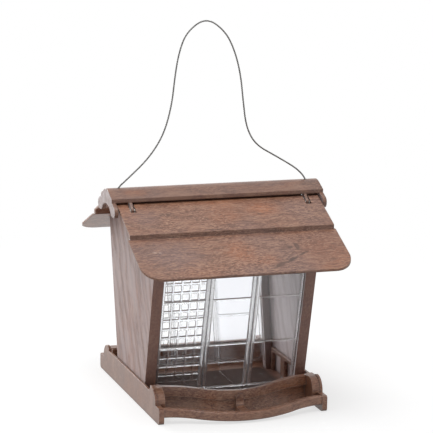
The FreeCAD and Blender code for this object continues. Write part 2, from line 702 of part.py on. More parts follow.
def cap_profile():
    """The cap's section: a rounded top, straight slopes and square front and back edges."""
    turn_drop = d.cap_radius.value - math.sqrt(d.cap_radius.value ** 2 - d.cap_turn.value ** 2)
    turn_z = Size(d.ridge_top.value - turn_drop,
                  "(dims.ridge_top - dims.cap_radius + sqrt(dims.cap_radius ^ 2 - dims.cap_turn ^ 2))")
    inner_radius = d.cap_radius - d.cap_thick
    shrink = inner_radius / d.cap_radius
    inner_turn = d.cap_turn * shrink
    inner_turn_z = d.ridge_top - d.cap_radius + (turn_z - d.ridge_top + d.cap_radius) * shrink
    points = [(-d.cap_depth, d.cap_edge_low), (-d.cap_depth, d.cap_edge_top), (-d.cap_turn, turn_z),
              (d.cap_turn, turn_z), (d.cap_depth, d.cap_edge_top), (d.cap_depth, d.cap_edge_low),
              (inner_turn, inner_turn_z), (-inner_turn, inner_turn_z)]
    return points, {2: (d.cap_radius, -1), 6: (inner_radius, 1)}, turn_z


def cap_end(name, start):
    """An end plate of the cap: the same top, with two ears that reach down past the flaps."""
    turn_z = cap_profile()[2]
    half = [(-d.arch_half, d.arch_foot), (-d.ear_foot, d.ear_foot_z), (-d.ear_toe, d.ear_toe_z),
            (-d.ear_out, d.ear_out_z), (-d.ear_crown, d.ear_crown_z),
            (-d.cap_depth, d.cap_edge_low + d.overlap), (-d.cap_depth, d.cap_edge_top), (-d.cap_turn, turn_z)]
    arcs = {index: (d.ear_round, -1) for index in (2, 3, 11, 12)}
    arcs.update({7: (d.cap_radius, -1), 15: (d.arch_radius, 1)})
    return prism(name, "YZ", both_ways(half), start, size(start) + d.end_thick, arcs)


def hinge_arm(name, place_x, side):
    """An arm from the cap down to the eye that holds a hinge pin."""
    eye = rod(f"{name}_eye", d.eye_radius, (place_x - d.eye_half, d.hinge_depth * side, d.hinge_z),
              d.eye_half * 2, "x")
    root = d.cap_depth - d.arm_reach
    points = [(d.hinge_depth, d.hinge_z + d.eye_radius),
              (d.cap_depth - d.overlap, d.cap_edge_low + d.overlap), (root, d.cap_edge_top),
              (root, d.cap_edge_low), (d.hinge_depth, d.hinge_z - d.eye_radius)]
    arm = prism(f"{name}_arm", "YZ", [(y * side, z) for y, z in points],
                place_x - d.eye_half, place_x + d.eye_half)
    return [eye, arm]


def ridge_cap():
    """A hollow cap with eared ends, screw bosses, four hinge eyes and two holes for the cable."""
    points, arcs = cap_profile()[:2]
    shell_half = d.ridge_half - d.end_thick
    pieces = [prism("cap_shell", "YZ", points, -shell_half, shell_half, arcs),
              cap_end("cap_left_end", -d.ridge_half), cap_end("cap_right_end", shell_half)]
    tools = []
    for end in (-1, 1):
        low, high = sorted((d.ridge_boss_in * end, d.ridge_boss_out * end), key=lambda length: length.value)
        pieces.append(box("ridge_boss", (low, -d.ridge_boss_half, d.ridge_boss_low),
                          (high, d.ridge_boss_half, d.ridge_boss_top)))
        screw_start = d.wall_in if end > 0 else -d.wall_in - d.ridge_screw_long
        tools.append(rod("boss_hole", d.screw_radius, (screw_start, size(0), d.ridge_screw_z),
                         d.ridge_screw_long, "x"))
        tools.append(rod("cable_hole", d.cable_hole,
                         (d.cable_place * end, size(0), d.ridge_top - d.cap_thick * 2), d.cap_thick * 3))
        for side in (-1, 1):
            pieces += hinge_arm("hinge", d.hinge_place * end, side)
            bore_start = d.hinge_place * end - d.eye_half - d.overlap
            tools.append(rod("eye_bore", d.eye_bore, (bore_start, d.hinge_depth * side, d.hinge_z),
                             (d.eye_half + d.overlap) * 2, "x"))
    return cut("ridge_cap", fuse("cap_pieces", pieces), tools)


# The roof flaps

def eave_corner(end):
    """The corner that the eave's round takes off a flap."""
    edge, start = d.lower_half, d.eave_depth - d.eave_round
    side, front = edge + d.overlap, d.eave_depth + d.overlap
    points = [(edge, -start), (side, -start), (side, -front),
              (edge - d.eave_round, -front), (edge - d.eave_round, -d.eave_depth)]
    return prism("eave_corner", "XY", [(x * end, y) for x, y in points],
                 d.eave_z - d.board_deep - d.overlap, d.ridge_top, {4: (d.eave_round, end)})


def front_roof_flap():
    """Two lapped boards moulded as one flap, with rounded eave corners and two hinge slots."""
    lap_in = d.lap_depth - d.lap_under

    def upper(depth):
        return d.board_top_z - d.slope * (depth - d.board_top)

    def lower(depth):
        return d.eave_z + d.slope * (d.eave_depth - depth)

    points = [(-d.board_top, d.board_top_z), (-d.lap_depth, upper(d.lap_depth)),
              (-d.lap_depth, lower(d.lap_depth)), (-d.eave_depth, d.eave_z),
              (-d.eave_depth, d.eave_z - d.board_deep), (-lap_in, lower(lap_in) - d.board_deep),
              (-lap_in, upper(lap_in) - d.board_deep), (-d.board_top, d.board_top_z - d.board_deep)]

    boards = prism("flap_boards", "YZ", points, -d.lower_half, d.lower_half)
    tools = []
    for end in (-1, 1):
        near, far = d.upper_half * end, (d.lower_half + d.overlap) * end
        low, high = (near, far) if end > 0 else (far, near)
        tools.append(eave_corner(end))
        tools.append(box("board_end", (low, -lap_in, d.eave_z), (high, size(0), d.ridge_top)))
        tools.append(box("board_lap", (low, -d.lap_depth, lower(d.lap_depth)), (high, -lap_in, d.ridge_top)))
        tools.append(box("hinge_slot", (d.hinge_place * end - d.slot_half, -d.slot_low, d.eave_z),
                         (d.hinge_place * end + d.slot_half, size(0), d.ridge_top)))
    pieces = [cut("flap_cut", boards, tools)]
    pin_holes = []
    for end in (-1, 1):
        middle = d.hinge_place * end
        for start in (middle - d.slot_half - d.boss_wide, middle + d.slot_half):
            pieces.append(rod("hinge_boss", d.boss_radius, (start, -d.hinge_depth, d.hinge_z),
                              d.boss_wide, "x"))
        pin_holes.append(rod("pin_hole", d.pin_radius, (middle - d.pin_half, -d.hinge_depth, d.hinge_z),
                             d.pin_half * 2, "x"))
    return cut("front_roof_flap", fuse("flap_pieces", pieces), pin_holes)


# Pins, screws and the hanging cable

def hinge_pin(name, end, side):
    """A pin pressed into the flap's bosses, which turns in the cap's eye."""
    return rod(name, d.pin_radius, (d.hinge_place * end - d.pin_half, d.hinge_depth * side, d.hinge_z),
               d.pin_half * 2, "x")


def cross_slots(name, spot, along):
    """The cross cut in a screw head, centred on a spot of the head's face."""
    reach, half, deep = d.screw_cross_half, d.screw_cross / 2, d.screw_cross_deep
    spans = [(reach, half), (half, reach)]
    slots = []
    for first, second in spans:
        spread = [first, second]
        spread.insert({"x": 0, "z": 2}[along], deep)
        slots.append(box(name, [s - w for s, w in zip(spot, spread)], [s + w for s, w in zip(spot, spread)]))
    return slots


def base_screws():
    """Four screws up through the floor into the end walls' edges."""
    screws = []
    for x in (-d.base_screw_x, d.base_screw_x):
        for y in (-d.base_screw_y, d.base_screw_y):
            head_low = d.floor_low - d.screw_head_tall
            shank = rod("shank", d.screw_radius, (x, y, d.floor_low), d.base_screw_tip - d.floor_low)
            head = rod("head", d.screw_head, (x, y, head_low), d.screw_head_tall)
            screws.append(cut("base_screw", fuse("screw_body", [shank, head]),
                              cross_slots("cross", (x, y, head_low), "z")))
    group = doc.addObject("Part::Compound", "base_screws")
    group.Links = screws
    return group


def left_ridge_screw():
    """A screw from inside the house, through the left wall's tongue into the cap."""
    face = -d.wall_in + d.screw_head_tall
    shank = rod("shank", d.screw_radius, (-d.wall_in - d.ridge_screw_long, size(0), d.ridge_screw_z),
                d.ridge_screw_long, "x")
    head = rod("head", d.screw_head, (-d.wall_in, size(0), d.ridge_screw_z), d.screw_head_tall, "x")
    return cut("left_ridge_screw", fuse("ridge_screw_body", [shank, head]),
               cross_slots("cross", (face, size(0), d.ridge_screw_z), "x"))


def left_ferrule():
    """A crimped stop on the left end of the cable."""
    return rod("left_cable_ferrule", d.ferrule_radius,
               (-d.cable_place, size(0), d.ferrule_top - d.ferrule_long), d.ferrule_long)


def hanging_cable():
    """A round cable along straight runs joined by tangent arcs, each as large as its runs allow."""
    route = [Vector(x, 0, z) for x, z in CABLE_ROUTE]
    edges, radii, length = [], [], 0.0
    last = route[0]
    for before, corner, after in zip(route, route[1:], route[2:]):
        back, ahead = (before - corner), (after - corner)
        turn = math.pi - back.getAngle(ahead)
        tangent = ARC_SHARE * min(back.Length, ahead.Length)
        radius = tangent / math.tan(turn / 2)
        start = corner + back.normalize() * tangent
        end = corner + ahead.normalize() * tangent
        inward = (back + ahead).normalize()
        middle = corner + inward * (radius / math.cos(turn / 2) - radius)
        edges += [Part.LineSegment(last, start).toShape(), Part.Arc(start, middle, end).toShape()]
        radii.append(round(radius, 1))
        last = end
    edges.append(Part.LineSegment(last, route[-1]).toShape())
    path = Part.Wire(edges)
    radius = d.cable_radius.value
    ring = Part.Wire(Part.makeCircle(radius, route[0], Vector(0, 0, 1)))
    item = doc.addObject("Part::Feature", "hanging_cable")
    item.Shape = path.makePipeShell([ring], True, False)
    plain_volume = math.pi * radius ** 2 * path.Length
    print("cable radii", radii, "length", round(path.Length, 1),
          "volume against section times length", round(item.Shape.Volume / plain_volume, 4))
    return item


# The whole feeder

def build():
    """Every sub-part of the feeder, by its label."""
    left_wall, window, divider, flap = left_end_wall(), front_window(), right_divider(), front_roof_flap()
    ridge_screw, ferrule = left_ridge_screw(), left_ferrule()
    parts = [
        base_tray(),
        left_wall, mirror("right_end_wall", left_wall, ALONG_X),
        window, mirror("back_window", window, ALONG_Y),
        mirror("left_divider", divider, ALONG_X), divider,
        ridge_cap(),
        flap, mirror("back_roof_flap", flap, ALONG_Y),
        base_screws(),
        ridge_screw, mirror("right_ridge_screw", ridge_screw, ALONG_X),
        ferrule, mirror("right_cable_ferrule", ferrule, ALONG_X),
        hanging_cable(),
    ]
    for side, front in ((-1, "front"), (1, "back")):
        for end, hand in ((-1, "left"), (1, "right")):
            parts.append(hinge_pin(f"{front}_{hand}_hinge_pin", end, side))
    for part in parts:
        part.Label = part.Name
    doc.recompute()
    return parts


def check(parts):
    """Stop on any object that failed, and on any sub-part without a good shape."""
    for item in doc.Objects:
        if "Invalid" in item.State or "Error" in item.State:
            raise RuntimeError(f"{item.Name} failed: {item.State}")
    for part in parts:
        if part.Shape.isNull() or not part.Shape.isValid() or not part.Shape.Solids:
            raise RuntimeError(f"{part.Label} has no good shape")


def write(parts):
    """One file for each sub-part."""
    os.makedirs("parts", exist_ok=True)
    for part in parts:
        part.Shape.exportStep(f"parts/{part.Label}.step")
        bounds = part.Shape.BoundBox
        print(f"{part.Label}: {len(part.Shape.Solids)} solid(s), {part.Shape.Volume / 1000:.1f} cm3, "
              f"x {bounds.XMin:.1f} {bounds.XMax:.1f}, y {bounds.YMin:.1f} {bounds.YMax:.1f}, "
              f"z {bounds.ZMin:.1f} {bounds.ZMax:.1f}")


parts = build()
check(parts)
write(parts)
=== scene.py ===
"""Looks of a hanging bird feeder: wood-look mouldings, clear windows, a twisted cable and the photo's view.

Metres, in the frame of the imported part: X along the ridge, the front towards -Y, +Z up.
"""

import math
from types import SimpleNamespace

import bmesh
import bpy
from mathutils import Matrix, Vector


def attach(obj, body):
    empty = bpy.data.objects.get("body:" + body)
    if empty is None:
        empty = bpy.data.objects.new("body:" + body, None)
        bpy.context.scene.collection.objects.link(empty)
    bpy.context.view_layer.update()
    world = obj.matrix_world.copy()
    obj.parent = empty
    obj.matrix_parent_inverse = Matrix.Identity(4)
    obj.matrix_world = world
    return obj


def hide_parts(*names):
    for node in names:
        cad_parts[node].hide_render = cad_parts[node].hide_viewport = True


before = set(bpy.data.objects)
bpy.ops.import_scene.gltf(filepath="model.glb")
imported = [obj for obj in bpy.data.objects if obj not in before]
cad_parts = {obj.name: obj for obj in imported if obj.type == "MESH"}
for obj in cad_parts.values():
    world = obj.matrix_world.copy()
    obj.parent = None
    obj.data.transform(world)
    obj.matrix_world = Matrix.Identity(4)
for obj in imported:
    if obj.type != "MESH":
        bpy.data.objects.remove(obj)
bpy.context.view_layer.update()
scene = bpy.context.scene

MM = 0.001
RIDGE_WAY = (1.0, 0.0, 0.0)
DEPTH_WAY = (0.0, 1.0, 0.0)
UP_WAY = (0.0, 0.0, 1.0)
ALL_WAYS = (1.0, 1.0, 1.0)

# The photograph's camera, fitted to the ridge, eaves, walls and rails
IMAGE_PIXELS = 433
FOCAL_PIXELS = 2105.2
SENSOR = 36.0
AZIMUTH, ELEVATION, ROLL = -18.63, 11.89, 0.91
DISTANCE = 2579.8 * MM
TARGET = Vector((5.1 * MM, 0.0, 218.6 * MM))
FAR_CLIP = 100.0

# The stage: the floor is shaded up to one distance and white from another, and the lamps are soft squares
FLOOR_HALF = 12.0
FLOOR_WHITE = (0.3, 0.9)
FLOOR_MATT, FLOOR_GLOW, FLOOR_PLAIN = 0.45, 0.66, 0.55
BACKDROP_LIGHT = 0.32
LAMPS = [
    ("top_lamp", (-0.3, -0.3, 2.3), 1.6, 28.0),
    ("left_lamp", (-2.2, 0.2, 1.0), 1.6, 4.6),
    ("back_lamp", (-0.95, 2.1, 0.75), 1.5, 28.0),
]

# The hanging cable's route in the plane of the ridge, x and z in millimetres
CABLE_ROUTE = [
    (-120.2, 256.8), (-120.2, 260.2), (-117, 263.6), (-107.5, 271.8), (-83, 294), (-64, 322), (-54, 358),
    (-50.5, 392), (-46, 421), (-36.5, 446.5), (-12, 463.5), (12, 447), (24.5, 424), (33, 394), (37, 360),
    (41.5, 328), (54, 306), (80, 291.2), (104, 277), (113.2, 269.4), (117.8, 264), (120.2, 259.9),
    (120.2, 256.8),
]
ROUTE_ORDER = 3
ROUTE_FINENESS = 24
CABLE_RADIUS = 1.1 * MM
STRANDS = 3
STRAND_LAY = 6.6 * MM
STRAND_RADIUS = 0.5 * MM
CORE_RADIUS = 0.3 * MM
STRAND_SIDES = 7
CORE_SIDES = 5
POINTS_PER_LAY = 12
STRAND_SLOT, CORE_SLOT = 0, 1


# Colours, as they look in plain light
def srgb(red, green, blue):
    """A colour given in the 0 to 255 steps of a screen, as linear light."""
    def channel(value):
        share = value / 255
        return share / 12.92 if share <= 0.04045 else ((share + 0.055) / 1.055) ** 2.4
    return (channel(red), channel(green), channel(blue), 1.0)


def grey(level):
    return (level, level, level, 1.0)


DARK = srgb(104, 68, 52)
BROWN = srgb(140, 94, 72)
WARM = srgb(152, 105, 81)
PALE = srgb(180, 138, 114)
ORANGE = srgb(176, 108, 68)
RUSSET = srgb(138, 84, 59)
MAUVE = srgb(136, 106, 99)
SOOT_AND_SHADE = srgb(66, 42, 33)
# A dark mark colour, also used as painted shade in corners and under the roof boards' edges.
FLECK = srgb(205, 178, 166)
# The grey of a painted sheen.
SHEEN_GREY = srgb(192, 179, 181)
# Grime and painted shade on the tray's floor.
GRIME_AND_SHADE = srgb(76, 66, 64)
# Dust, and a painted sheen.
DUST_AND_SHEEN = srgb(238, 224, 223)
# Painted shade in the cable's grooves.
ROPE_GROOVE_SHADE = srgb(30, 30, 30)
ZINC = srgb(196, 190, 184)
ROPE_WIRE = srgb(150, 149, 147)
# A dark core, which also paints shade between the strands.
ROPE_CORE_AND_SHADE = srgb(44, 44, 45)
CLEAR_TINT = (0.97, 0.975, 0.99, 1.0)
CLEAR_SHADE = (0.9, 0.905, 0.915, 1.0)

# How the grain is squeezed along x, y and z, and the scale, number and strength of its line pairs
ALONG_RIDGE = (1.0, 3.6, 3.6)
UPRIGHT = (3.6, 3.6, 0.42)
FINE_FLAME = (34.0, 9.0, 0.16)
BROAD_FLAME = (13.0, 4.5, 0.5)

# Noises of the wood look: scale, detail, roughness and distortion
STREAK_NOISE = (24.0, 5.0, 0.6)
WARM_NOISE = (11.0, 2.0)
COOL_NOISE = (9.0, 2.0)
BURL_NOISE = (15.0, 2.0)
MOTTLE_NOISE = (110.0, 4.0, 0.7, 0.6)
SPECKLE_NOISE = (210.0, 2.0, 0.7)
PORE_NOISE = (1.0, 3.0, 0.6)
SMUDGE_NOISE = (38.0, 2.0, 0.5)
FLAME_DETAIL, FLAME_ROUGH = 3.0, 0.6
SPECKLE_SQUEEZE = 0.85
PORE_SCALE, PORE_SQUEEZE = 42.0, 13.0
MIDDLE = 0.5

# Where the slower noises start, so that no two of them agree
SEED_STEP = (1.7, 2.3, 0.9)
COOL_START = (3.1, 1.3, 5.7)
BURL_START = (5.3, 4.1, 2.2)
SMUDGE_START = (1.9, 6.1, 3.3)

# Scale and reach of the waves that bend the grain, its line pairs and its marks
SWIRL = (24.0, 16 * MM)
CURL = (9.0, 0.1)
MARK_BEND = (60.0, 6 * MM)
RAGGED = 1.1

# The streaks' colours, then tints: where a noise starts to show, where it is full, its share and its colour
STREAK_STOPS = [(0.3, DARK), (0.43, BROWN), (0.57, WARM), (0.74, PALE)]
WARM_TINT = (0.5, 0.68, 0.5, ORANGE)
COOL_TINT = (0.5, 0.66, 0.6, MAUVE)
RING_TINTS = [(0.16, 0.0, 1.0, DARK), (0.36, 0.5, 1.0, PALE)]
MOTTLE_TINTS = [(0.5, 0.68, 0.4, PALE), (0.5, 0.34, 0.4, DARK)]
SPECKLE_TINTS = [(0.53, 0.64, 1.0, PALE), (0.47, 0.36, 1.0, DARK)]
PORE_TINTS = [(0.52, 0.66, 0.6, DARK), (0.46, 0.32, 0.45, PALE)]

# Where a mask starts and where it is full
BURL_RISE = (0.45, 0.62)
HATCH_RISE = (0.4, 0.56)
SMUDGE_RISE = (0.52, 0.68)
GRIME_AND_SHADE_RISE = (1.02, 0.9)
UPWARD_RISE = (0.4, 0.8)
ENDWAYS_RISE = (0.6, 0.95)
THIN_RISE = (0.38, 0.62)
INWARD_RISE = (0.3, 0.65)
DRIFT_RISE = (0.35, 0.65)
SQUARE_RISE = (0.65, 0.9)
TURNED_RISE = (0.02, 0.2)
WORN_AND_LIT_RISE = (0.35, 0.6)
CORNER_RISE = (0.75, 0.35)

# Shares: the least of a mask and what a noise adds to it, or how strong a layer is
BURL_RINGS = 0.26
DOTS = (0.5, 0.5)
HATCH = (0.5, 0.5)
THIN = (0.42, 0.58)
DRIFT = (0.65, 0.3)
GRIME_AND_SHADE_SHARE = 0.85
GLINT_SHARE, GLINT_CORE = 0.6, 0.4

# Wear and painted highlight on the edges, painted shade in the corners, relief and gloss of the mouldings
EDGE_ROUND = 0.9 * MM
EDGE_SAMPLES = 4
CORNER_REACH = 7 * MM
CORNER_SAMPLES = 6
PALE_WEAR_AND_HIGHLIGHT = (EDGE_ROUND, PALE, 0.5)
BARE_WEAR_AND_HIGHLIGHT = (1.3 * MM, FLECK, 0.75)
ROUNDED_EDGE_HIGHLIGHT = (1.8 * MM, PALE, 0.4)
PORE_DEPTH, MOTTLE_HEIGHT, SPECKLE_HEIGHT = -0.6, 0.5, 0.5
BUMP_HEIGHT = 0.4 * MM
WOOD_BUMP, PANE_BUMP = 0.35, 0.05
SATIN = (0.3, 0.46)
MATT = (0.5, 0.7)
DRY_DIRT = 0.92
WOOD_IOR = 1.55
COAT_ROUGH = 0.36

# The windows: the outer face leans out from a depth at the ground, and the beads stand out from it
PANE_FOOT = 48.63 * MM
PANE_LEAN = (0.9739, 0.2272)
PANE_ROUND = 1.1 * MM
PANE_IOR = 1.49
BEAD_RISE = (0.2 * MM, 0.9 * MM)
BEAD_MILK, BEAD_CLEAR = 0.08, 0.0
BEAD_COAT_IOR, BEAD_COAT_ROUGH = 2.0, 0.06
CUT_RISE = (0.8, 0.4)
CUT_MILK, CUT_CLEAR = 0.4, 0.55
SCUFF_BEND = (40.0, 12 * MM)
SCUFF_NOISE = (260.0, 4.0, 0.7)
SCUFF_ROUGH = (0.01, 0.05)
CLOUD_NOISE = (60.0, 2.0)
CLOUD_SPREAD = (0.8, 1.2)
WAVE_NOISE = (26.0, 2.0)
MILK_ROUGH = 0.08

# Metal: tarnish, its share of the colour and of the roughness, and the painted shade in grooves
TARNISH_NOISE = (500.0, 4.0, 0.6)
TARNISH_RISE = (0.4, 0.75)
TARNISH_SHADE = 0.45
TARNISH_ROUGH = (0.7, 1.4)
GROOVE_RISE = (0.85, 0.45)
GROOVE_SHARE = 0.9
GROOVE_SAMPLES = 8
GROOVE_REACH = 0.8 * MM

# Areas under the grain and marks over it, seen from above in millimetres:
# x and y of the middle, half length, half width and turn, then colour, strength and softness
ROOF_AREAS = [
    ((100, -112, 46, 42, 0), RUSSET, 0.75, 0.9), ((-104, -50, 34, 22, 0), MAUVE, 0.7, 0.85),
    ((48, -44, 30, 18, 0), ORANGE, 0.9, 0.85), ((-2, -113, 28, 34, 0), ORANGE, 0.9, 0.9),
    ((24, -130, 26, 14, 0), ORANGE, 0.6, 0.8), ((-84, -112, 54, 40, 0), MAUVE, 0.95, 0.85),
]
ROOF_MARKS = [
    ((-59, -66, 12, 8, 0), PALE, 0.45, 0.65), ((-104, -66, 18, 5, -25), PALE, 0.4, 0.65),
    ((-106, -105, 5, 2.6, -20), FLECK, 0.5, 0.6), ((-99, -106, 2.5, 2.5, 0), FLECK, 0.4, 0.6),
    ((-20, -84, 16, 1.6, 4), PALE, 0.5, 0.65), ((20, -83.5, 18, 2.4, -10), DARK, 0.5, 0.65),
    ((52, -95, 18, 1.5, -13), DARK, 0.6, 0.5), ((54, -108, 11, 6, 5), DARK, 0.5, 0.65),
    ((61, -108, 3.5, 4, 5), SOOT_AND_SHADE, 0.6, 0.4), ((69.5, -107, 3.6, 7.5, 0), SOOT_AND_SHADE, 0.85, 0.35),
    ((70, -107, 8, 12, 0), DARK, 0.4, 0.8), ((38, -139.5, 13, 3.4, 27), SOOT_AND_SHADE, 0.85, 0.55),
    ((57, -130, 13, 2.6, 26), SOOT_AND_SHADE, 0.9, 0.55), ((75, -121, 9, 1.7, 26), SOOT_AND_SHADE, 0.8, 0.55),
    ((55, -121, 7, 1.3, -30), DARK, 0.7, 0.5), ((62, -118, 5, 1.2, 40), DARK, 0.7, 0.5),
    ((40, -138, 17, 7, 26.5), DARK, 0.55, 0.7), ((44, -52.5, 7, 2, -6), SOOT_AND_SHADE, 0.6, 0.5),
    ((38, -49, 9, 5, -6), DARK, 0.4, 0.7), ((-26, -77.5, 18, 2.4, 8), SOOT_AND_SHADE, 0.55, 0.7),
]
CAP_AREAS = [
    ((-102, -14, 24, 10, 0), ORANGE, 0.9, 0.8), ((122, -12, 18, 14, 0), SOOT_AND_SHADE, 0.7, 0.8),
    ((70, -11, 36, 3, 0), MAUVE, 0.8, 0.7), ((-56, -17, 22, 3, 0), PALE, 0.5, 0.7),
    ((4, -9, 28, 4, 0), DARK, 0.6, 0.7), ((-20, -20, 30, 2.5, 0), DARK, 0.5, 0.7),
]

# The half sizes of the tray floor's grime and painted shade, and the place and reach of the painted highlight
# on each hinge arm
FLOOR_REACH = (92 * MM, 58 * MM, 8 * MM)
ARM_GLINT = ((111.5 * MM, 30 * MM, 241 * MM), 2.5 * MM)


# Node trees

class Nodes:
    """Short names for building one node tree."""

    def __init__(self, tree):
        self.tree = tree
        tree.nodes.clear()

    def add(self, kind, inputs=None, **settings):
        node = self.tree.nodes.new(kind)
        for key, value in settings.items():
            setattr(node, key, value)
        for key, value in (inputs or {}).items():
            self.feed(node.inputs[key], value)
        return node

    def feed(self, socket, value):
        if isinstance(value, bpy.types.NodeSocket):
            self.tree.links.new(value, socket)
        else:
            socket.default_value = value

    def show(self, shader, output="ShaderNodeOutputMaterial"):
        """The tree's output, fed by a shader."""
        self.add(output, {"Surface": shader.outputs[0]})

    def math(self, operation, first, second=0.0, clamp=False):
        node = self.add("ShaderNodeMath", {0: first, 1: second}, operation=operation, use_clamp=clamp)
        return node.outputs[0]

    def share(self, mask, strength):
        return self.math("MULTIPLY", mask, strength)

    def least_and_more(self, shares, mask):
        """A share that starts at the least and grows with a mask."""
        least, more = shares
        return self.math("ADD", least, self.share(mask, more))

    def mix(self, factor, first, second):
        node = self.add("ShaderNodeMix", data_type="RGBA")
        self.feed(node.inputs["Factor"], factor)
        self.feed(node.inputs["A"], first)
        self.feed(node.inputs["B"], second)
        return node.outputs["Result"]

    def mix_number(self, factor, first, second):
        node = self.add("ShaderNodeMix", {"Factor": factor, "A": first, "B": second}, data_type="FLOAT")
        return node.outputs["Result"]

    def ramp(self, factor, stops):
        node = self.add("ShaderNodeValToRGB", {"Fac": factor})
        ramp = node.color_ramp
        while len(ramp.elements) < len(stops):
            ramp.elements.new(MIDDLE)
        for element, (place, colour) in zip(ramp.elements, stops):
            element.position = place
            element.color = colour
        return node.outputs["Color"]

    def step(self, value, low, high):
        """A smooth rise from 0 at low to 1 at high."""
        node = self.add("ShaderNodeMapRange", {"Value": value, "From Min": low, "From Max": high},
                        interpolation_type="SMOOTHSTEP")
        return node.outputs["Result"]

    def spread(self, value, low, high):
        """A noise stretched to run from low to high."""
        node = self.add("ShaderNodeMapRange", {"Value": value, "To Min": low, "To Max": high})
        return node.outputs["Result"]

    def tinted(self, tone, noise, tint, mask=None):
        """A colour tinted where a noise shows, as far as a mask lets it."""
        low, high, strength, colour = tint
        shown = self.share(self.step(noise, low, high), strength)
        if mask is not None:
            shown = self.math("MULTIPLY", shown, mask)
        return self.mix(shown, tone, colour)

    def noise(self, vector, scale, detail=3.0, rough=0.5, distortion=0.0):
        node = self.add("ShaderNodeTexNoise", {"Vector": vector, "Scale": scale, "Detail": detail,
                                               "Roughness": rough, "Distortion": distortion})
        return node.outputs["Fac"]

    def stretched(self, vector, scale, offset=(0.0, 0.0, 0.0)):
        node = self.add("ShaderNodeMapping", {"Vector": vector, "Scale": scale, "Location": offset})
        return node.outputs["Vector"]

    def vector(self, operation, first, second=(0.0, 0.0, 0.0), output="Vector"):
        node = self.add("ShaderNodeVectorMath", {0: first, 1: second}, operation=operation)
        return node.outputs[output]

    def dot(self, first, second):
        return self.vector("DOT_PRODUCT", first, second, "Value")

    def leaned(self, vector, angle):
        """The same place, turned about the ridge's axis, so that grain leans."""
        node = self.add("ShaderNodeVectorRotate", {"Vector": vector, "Angle": math.radians(angle)},
                        rotation_type="X_AXIS")
        return node.outputs["Vector"]

    def bent(self, vector, scale, reach):
        """The same place, pushed about by slow waves, so that grain swirls."""
        wave = self.add("ShaderNodeTexNoise", {"Vector": vector, "Scale": scale, "Detail": 2.0})
        centred = self.vector("SUBTRACT", wave.outputs["Color"], (MIDDLE, MIDDLE, MIDDLE))
        return self.vector("ADD", vector, self.vector("MULTIPLY", centred, (reach, reach, reach)))

    def place(self):
        return self.add("ShaderNodeTexCoord").outputs["Object"]

    def rounded(self, radius):
        """The surface's direction, with its edges rounded."""
        return self.add("ShaderNodeBevel", {"Radius": radius}, samples=EDGE_SAMPLES).outputs["Normal"]

    def open_to_light(self, reach, samples):
        """1 out in the open and less in corners, up to a reach."""
        return self.add("ShaderNodeAmbientOcclusion", {"Distance": reach}, samples=samples).outputs["AO"]

    def bump(self, height, strength, normal):
        node = self.add("ShaderNodeBump", {"Height": height, "Strength": strength, "Distance": BUMP_HEIGHT,
                                           "Normal": normal})
        return node.outputs["Normal"]


def new_material(name):
    """A material, and the short names for its node tree."""
    material = bpy.data.materials.new(name)
    material.use_nodes = True
    return material, Nodes(material.node_tree)


# Materials

def oval(n, place, mark, ragged, soft):
    """A mask for one mark on the roof: an oval seen from above, with a ragged and more or less soft edge."""
    x, y, half_long, half_wide, angle = mark
    turn = math.radians(angle)
    shift = n.vector("SUBTRACT", place, (x * MM, y * MM, 0.0))
    long_way = (math.cos(turn) / (half_long * MM), math.sin(turn) / (half_long * MM), 0.0)
    wide_way = (-math.sin(turn) / (half_wide * MM), math.cos(turn) / (half_wide * MM), 0.0)
    first = n.dot(shift, long_way)
    second = n.dot(shift, wide_way)
    squares = n.math("ADD", n.math("MULTIPLY", first, first), n.math("MULTIPLY", second, second))
    edge = n.math("ADD", n.math("SQRT", squares), n.share(n.math("SUBTRACT", ragged, MIDDLE), RAGGED))
    return n.step(edge, 1.0, 1.0 - soft)


def wood_grain(n, place, squeeze, seed, areas, contrast, lean, flame):
    """The grain's colour: streaks that swirl, areas, line pairs and burl, mottle, speckle and pores.

    The noises that the wear follows come with it.
    """
    moved = n.stretched(place, ALL_WAYS, tuple(seed * step for step in SEED_STEP))
    swirled = n.leaned(n.bent(moved, *SWIRL), lean)
    along = n.stretched(swirled, squeeze)
    mark_place = n.bent(place, *MARK_BEND)
    streaks = n.noise(along, *STREAK_NOISE)
    warm = n.noise(moved, *WARM_NOISE)
    cool = n.noise(n.stretched(moved, ALL_WAYS, COOL_START), *COOL_NOISE)
    burl = n.step(n.noise(n.stretched(moved, ALL_WAYS, BURL_START), *BURL_NOISE), *BURL_RISE)
    flame_scale, flame_number, flame_strength = flame
    curl = n.noise(n.bent(along, *CURL), flame_scale, FLAME_DETAIL, FLAME_ROUGH)
    rings = n.math("PINGPONG", n.share(curl, flame_number), MIDDLE)
    mottle = n.noise(n.stretched(swirled, tuple(math.sqrt(s) for s in squeeze)), *MOTTLE_NOISE)
    speckle = n.noise(n.stretched(swirled, tuple(s ** SPECKLE_SQUEEZE for s in squeeze)), *SPECKLE_NOISE)
    pore_squeeze = tuple(PORE_SCALE * min(s * s, PORE_SQUEEZE) for s in squeeze)
    pores = n.noise(n.stretched(swirled, pore_squeeze), *PORE_NOISE)

    tone = n.ramp(streaks, [(MIDDLE + (stop - MIDDLE) / contrast, colour) for stop, colour in STREAK_STOPS])
    tone = n.tinted(tone, warm, WARM_TINT)
    tone = n.tinted(tone, cool, COOL_TINT)
    for mark, colour, strength, soft in areas:
        tone = n.mix(n.share(oval(n, mark_place, mark, mottle, soft), strength), tone, colour)
    ring_share = n.least_and_more((flame_strength, BURL_RINGS), burl)
    dots = n.least_and_more(DOTS, burl)
    for noise, tints, mask in ((rings, RING_TINTS, ring_share), (mottle, MOTTLE_TINTS, None),
                               (speckle, SPECKLE_TINTS, dots), (pores, PORE_TINTS, None)):
        for tint in tints:
            tone = n.tinted(tone, noise, tint, mask)
    return SimpleNamespace(tone=tone, streaks=streaks, mottle=mottle, speckle=speckle, pores=pores,
                           moved=moved, mark_place=mark_place)


